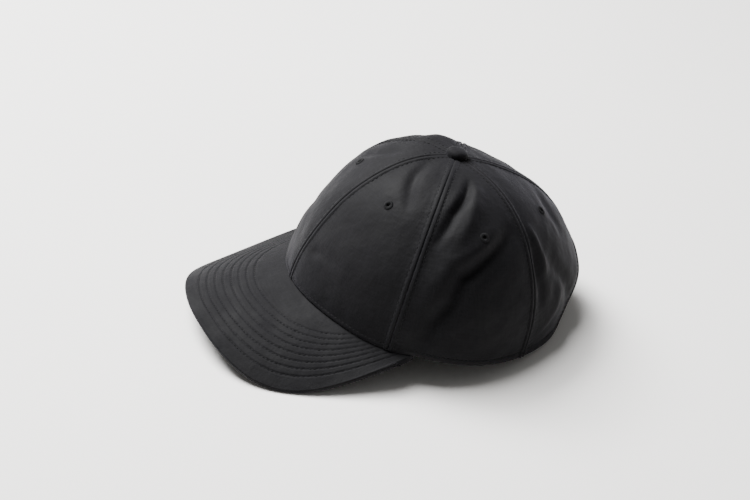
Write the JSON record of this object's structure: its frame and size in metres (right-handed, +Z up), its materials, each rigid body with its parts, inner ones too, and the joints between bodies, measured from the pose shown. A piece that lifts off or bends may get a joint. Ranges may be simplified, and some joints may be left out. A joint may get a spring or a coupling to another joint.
{
  "type": "baseball cap",
  "caption": "Soft six-panel cap with a curved, stitched brim, sewn eyelets, a covered top button and an adjustable back strap with a clasp.",
  "frame": {"origin": "point on the supporting surface under the middle of the bounding box, with the cap standing on its brim and rear corners", "axes": "+Z up, -Y towards the brim, +X to the wearer's left"},
  "size_m": [0.1896, 0.2631, 0.1167],
  "materials": {
    "crown_cloth": "matt brushed woven cloth, near-black charcoal",
    "thread": "matching charcoal sewing thread",
    "tape_cloth": "matt black woven seam tape",
    "band_cloth": "matt black twill sweatband",
    "board_plastic": "plain off-white plastic sheet",
    "strap_webbing": "charcoal folded cloth strap",
    "dark_metal": "satin black painted metal"
  },
  "bodies": {
    "crown": {"front_panel_left": "crown_cloth", "side_panel_left": "crown_cloth", "rear_panel_left": "crown_cloth", "rear_panel_right": "crown_cloth", "side_panel_right": "crown_cloth", "front_panel_right": "crown_cloth", "brim_top_cover": "crown_cloth", "brim_under_cover": "crown_cloth", "button_cover": "crown_cloth", "eyelet_front_left": "thread", "eyelet_side_left": "thread", "eyelet_rear_left": "thread", "eyelet_rear_right": "thread", "eyelet_side_right": "thread", "eyelet_front_right": "thread", "brim_stitch_row_1": "thread", "brim_stitch_row_2": "thread", "brim_stitch_row_3": "thread", "brim_stitch_row_4": "thread", "brim_stitch_row_5": "thread", "brim_stitch_row_6": "thread", "brim_stitch_row_7": "thread", "brim_stitch_row_8": "thread", "seam_tape_front": "tape_cloth", "seam_tape_front_left": "tape_cloth", "seam_tape_rear_left": "tape_cloth", "seam_tape_rear": "tape_cloth", "seam_tape_rear_right": "tape_cloth", "seam_tape_front_right": "tape_cloth", "arch_binding": "tape_cloth", "sweatband": "band_cloth", "brim_board": "board_plastic", "strap_tab": "strap_webbing", "button_shell": "dark_metal", "button_shank": "dark_metal", "button_washer": "dark_metal", "buckle_frame": "dark_metal", "buckle_pin": "dark_metal"},
    "strap": {"back_strap": "strap_webbing"},
    "lever": {"buckle_lever": "dark_metal"}
  },
  "joints": [
    {"name": "strap_slide", "type": "hinge", "parent": "crown", "child": "strap", "pos_m": [0, 0.0475, 0], "axis": [0, 0, 1], "range_deg": [-5, 5]},
    {"name": "lever_open", "type": "hinge", "parent": "crown", "child": "lever", "pos_m": [-0.02996, 0.11981, 0.01193], "axis": [-0.0409, 0.1426, 0.9889], "range_deg": [0, 95]}
  ]
}
